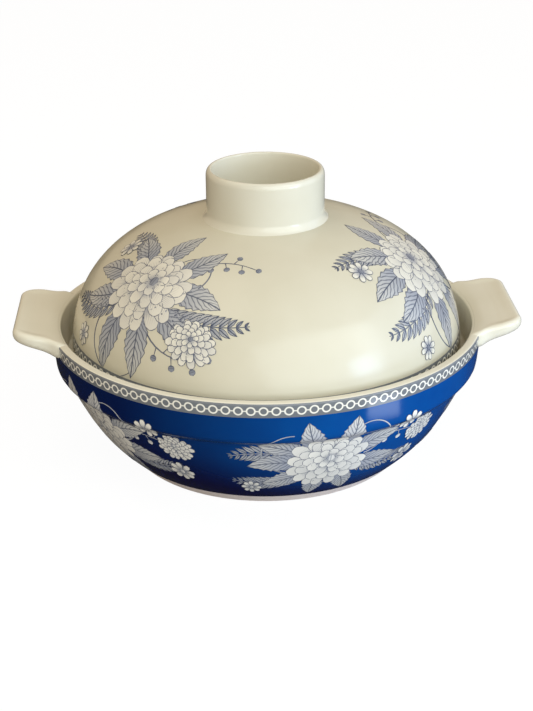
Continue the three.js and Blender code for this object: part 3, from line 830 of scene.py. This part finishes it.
# where things stand on each sheet, in mm and degrees; ferns, berries and stems lie lowest, then leaves, then
# flowers, and the sheets are cut a little clear of the border and of the foot
lidLayout = {
    "turns": (-50, 70, 190), "drop": 56, "clear": 0.3, "middle": (0, 0), "leafFrom": (16, 14),
    "leafWide": 7.4,
    "ferns": (((-12, 8), 128, 44, 46, 10), ((16, -8), -8, 48, 40, 11), ((-10, -12), 206, 46, -44, 10)),
    "berries": (((14, 14), 62, 38, -60, 6), ((12, -18), -44, 36, 70, 6)),
    "stems": (((-18, -14), 232, 58, 0.42, 170), ((22, 4), 20, 46, 0.42, 230)),
    "leaves": ((170, 33, 24), (208, 30, -26), (250, 33, 22), (292, 31, -24), (330, 34, 26), (12, 30, -22),
               (48, 31, 24), (96, 30, -26), (134, 30, 22)),
    "blooms": (((0, 0), 26, 0.02, 0.05), ((39, -17), 13, -0.02, 0.05)),
    "daisies": (((-40, 18), 7), ((-34, -33), 6)),
}
bowlLayout = {
    "turns": (-58, 14, 86, 158, 230), "clear": 0.3, "clearTop": 0.1, "middle": (0, 36), "leafFrom": (15, 13),
    "leafWide": 7.2,
    "ferns": (((-16, 42), 158, 40, 40, 9), ((16, 30), -24, 46, 46, 10), ((-16, 24), 200, 40, -36, 9)),
    "berries": (((18, 46), 16, 40, -34, 6),),
    "stems": (((-20, 30), 186, 52, 0.5, -190), ((22, 38), 8, 48, 0.5, 210)),
    "leaves": ((172, 31, 24), (212, 27, -24), (256, 20, 20), (306, 24, -22), (346, 32, 24), (28, 30, -24),
               (64, 22, 22), (118, 22, -22), (148, 29, 22)),
    "blooms": (((0, 36), 25, 0.02, 0.04), ((60, 44), 11, -0.02, 0.05)),
    "daisies": (((46, 56), 7), ((58, 24), 8), ((-44, 16), 6.5)),
}


def drawSpray(spray, layout):
    for fern in layout["ferns"]:
        spray.fern(*fern)
    for sprig in layout["berries"]:
        spray.berries(*sprig)
    for at, heading, long, wide, bend in layout["stems"]:
        spray.draw("stem", at, heading, long, wide, bend)
    spray.layer += 1
    for heading, long, bend in layout["leaves"]:
        way = math.radians(heading)
        start = [m + f * turn for m, f, turn in zip(layout["middle"], layout["leafFrom"],
                                                    (math.cos(way), math.sin(way)))]
        spray.draw("leaf", start, heading, long, layout["leafWide"], bend, spray.dice.uniform(0, leafTone))
    spray.layer += 1
    for bloom in layout["blooms"]:
        spray.bloom(*bloom)
    for daisy in layout["daisies"]:
        spray.daisy(*daisy)


lidCuts = [(lid["bandTop"] + lidLayout["clear"], False)]
for number, turn in enumerate(lidLayout["turns"], 1):
    spray = Spray(domeSheet(turn, lidLayout["drop"]), number)
    drawSpray(spray, lidLayout)
    spray.finish("lid_print_" + str(number), "lid", "cream_printed_glaze", lidPrint, lidCuts)
bowlCuts = [(bowl["bandTop"] - bowl["bandTall"] - bowlLayout["clearTop"], True),
            (bowl["footTall"] + bowlLayout["clear"], False)]
for number, turn in enumerate(bowlLayout["turns"], 1):
    spray = Spray(bowlSheet(turn), number, shoulderFolds)
    drawSpray(spray, bowlLayout)
    spray.finish("bowl_print_" + str(number), "pot", "blue_printed_glaze", bowlPrint, bowlCuts)


# a plain floor that is white to the camera, pale in the light it throws back and dim in the glaze's mirror
stageLook = {"floor": "#4c4d4e", "bounce": "#bab8b5", "mirror": "#1e1e20", "glow": 0.95, "mirrored": 0.02,
             "wideM": 8}
finish, tree = newFinish("pale_floor")
path = addNode(tree, "ShaderNodeLightPath")
seen = addNode(tree, "ShaderNodeMath",
               {0: path.outputs["Is Camera Ray"], 1: path.outputs["Is Transmission Ray"]},
               operation="MAXIMUM")
dim = addNode(tree, "ShaderNodeMath", {0: path.outputs["Is Glossy Ray"], 1: stageLook["mirrored"]},
              operation="MULTIPLY")
glow = addNode(tree, "ShaderNodeMath", {0: seen.outputs[0], 1: stageLook["glow"], 2: dim.outputs[0]},
               operation="MULTIPLY_ADD")
light = addNode(tree, "ShaderNodeEmission", {"Strength": glow.outputs[0]})
paper = addNode(tree, "ShaderNodeMix", {0: path.outputs["Is Diffuse Ray"], 6: linear(stageLook["floor"]),
                                        7: linear(stageLook["bounce"])}, data_type="RGBA")
top = addNode(tree, "ShaderNodeMix", {0: path.outputs["Is Glossy Ray"], 6: paper.outputs[2],
                                      7: linear(stageLook["mirror"])}, data_type="RGBA")
matt = addNode(tree, "ShaderNodeBsdfDiffuse", {"Color": top.outputs[2]})
both = addNode(tree, "ShaderNodeAddShader", {0: light.outputs[0], 1: matt.outputs[0]})
addNode(tree, "ShaderNodeOutputMaterial", {"Surface": both.outputs[0]})
bm = bmesh.new()
bmesh.ops.create_grid(bm, x_segments=1, y_segments=1, size=stageLook["wideM"] / 2)
mesh = bpy.data.meshes.new("floor")
bm.to_mesh(mesh)
bm.free()
mesh.materials.append(finish)
floor = bpy.data.objects.new("floor", mesh)
bpy.context.scene.collection.objects.link(floor)

# the camera sees white past the floor, and the pot is lit by a warm room
room = {"colour": "#fde6c4", "strength": 0.475, "seen": "#ffffff"}
world = bpy.data.worlds.new("studio")
world.use_nodes = True
world.node_tree.nodes.clear()
tree = world.node_tree
sky = addNode(tree, "ShaderNodeBackground", {"Color": linear(room["colour"]), "Strength": room["strength"]})
white = addNode(tree, "ShaderNodeBackground", {"Color": linear(room["seen"]), "Strength": 1.0})
path = addNode(tree, "ShaderNodeLightPath")
seen = addNode(tree, "ShaderNodeMath",
               {0: path.outputs["Is Camera Ray"], 1: path.outputs["Is Transmission Ray"]},
               operation="MAXIMUM")
shown = addNode(tree, "ShaderNodeMixShader", {0: seen.outputs[0], 1: sky.outputs[0], 2: white.outputs[0]})
addNode(tree, "ShaderNodeOutputWorld", {"Surface": shown.outputs[0]})
bpy.context.scene.world = world

# each lamp: where it stands and what it faces, its size in m, its strength and its tint
lamps = {
    "front_softbox": {"at": (0.86, -1.45, 0.8), "to": (0, 0, 0.08), "size": (2.6, 1.6),
                      "watts": 36, "tint": "#f0fbff"},
    "left_fill": {"at": (-0.75, -1.6, 0.55), "to": (0, 0, 0.08), "size": (1.2, 1.0),
                  "watts": 2, "tint": "#fff6e8"},
    "key_window": {"at": (1.07, -0.8, 0.24), "to": (0.045, -0.09, 0.083), "size": (0.4, 0.34),
                   "watts": 3, "tint": "#a8ccff"},
    "right_fill": {"at": (1.15, -0.12, 0.5), "to": (0, 0, 0.08), "size": (1.1, 0.9),
                   "watts": 4, "tint": "#b8d6ff"},
    "table_card": {"at": (0.123, -0.135, 0.012), "to": (0.047, -0.07, 0.092), "size": (0.045, 0.013),
                   "watts": 0.009, "tint": "#d8e8ff"},
    "overhead": {"at": (-0.6, 0.05, 1.15), "to": (0, 0, 0.1), "size": (1.0, 1.0),
                 "watts": 3.3, "tint": "#fff8ee"},
}
for name, lamp in lamps.items():
    data = bpy.data.lights.new(name, "AREA")
    data.shape = "RECTANGLE"
    data.size, data.size_y = lamp["size"]
    data.energy = lamp["watts"]
    data.color = linear(lamp["tint"])[:3]
    holder = bpy.data.objects.new(name, data)
    holder.location = lamp["at"]
    holder.visible_camera = False
    holder.rotation_euler = (Vector(lamp["to"]) - Vector(lamp["at"])).to_track_quat("-Z", "Y").to_euler()
    bpy.context.scene.collection.objects.link(holder)

# the photo's view, fitted to the ellipses and outlines in it: place in mm, angles in degrees, lens in mm
view = {"at": (-40.4, -797.6, 396.0), "down": 23.41, "aside": 2.9, "roll": -0.4, "lens": 80.83, "sensor": 36}
data = bpy.data.cameras.new("photo_view")
data.lens = view["lens"]
data.sensor_width = view["sensor"]
camera = bpy.data.objects.new("photo_view", data)
camera.location = Vector(view["at"]) * mm
camera.rotation_mode = "QUATERNION"
aim = Quaternion((0, 0, 1), math.radians(-view["aside"]))
aim @= Quaternion((1, 0, 0), math.radians(90 - view["down"]))
camera.rotation_quaternion = aim @ Quaternion((0, 0, 1), math.radians(view["roll"]))
bpy.context.scene.collection.objects.link(camera)
bpy.context.scene.camera = camera
bpy.context.scene.view_settings.view_transform = "Standard"
print("stage ready")
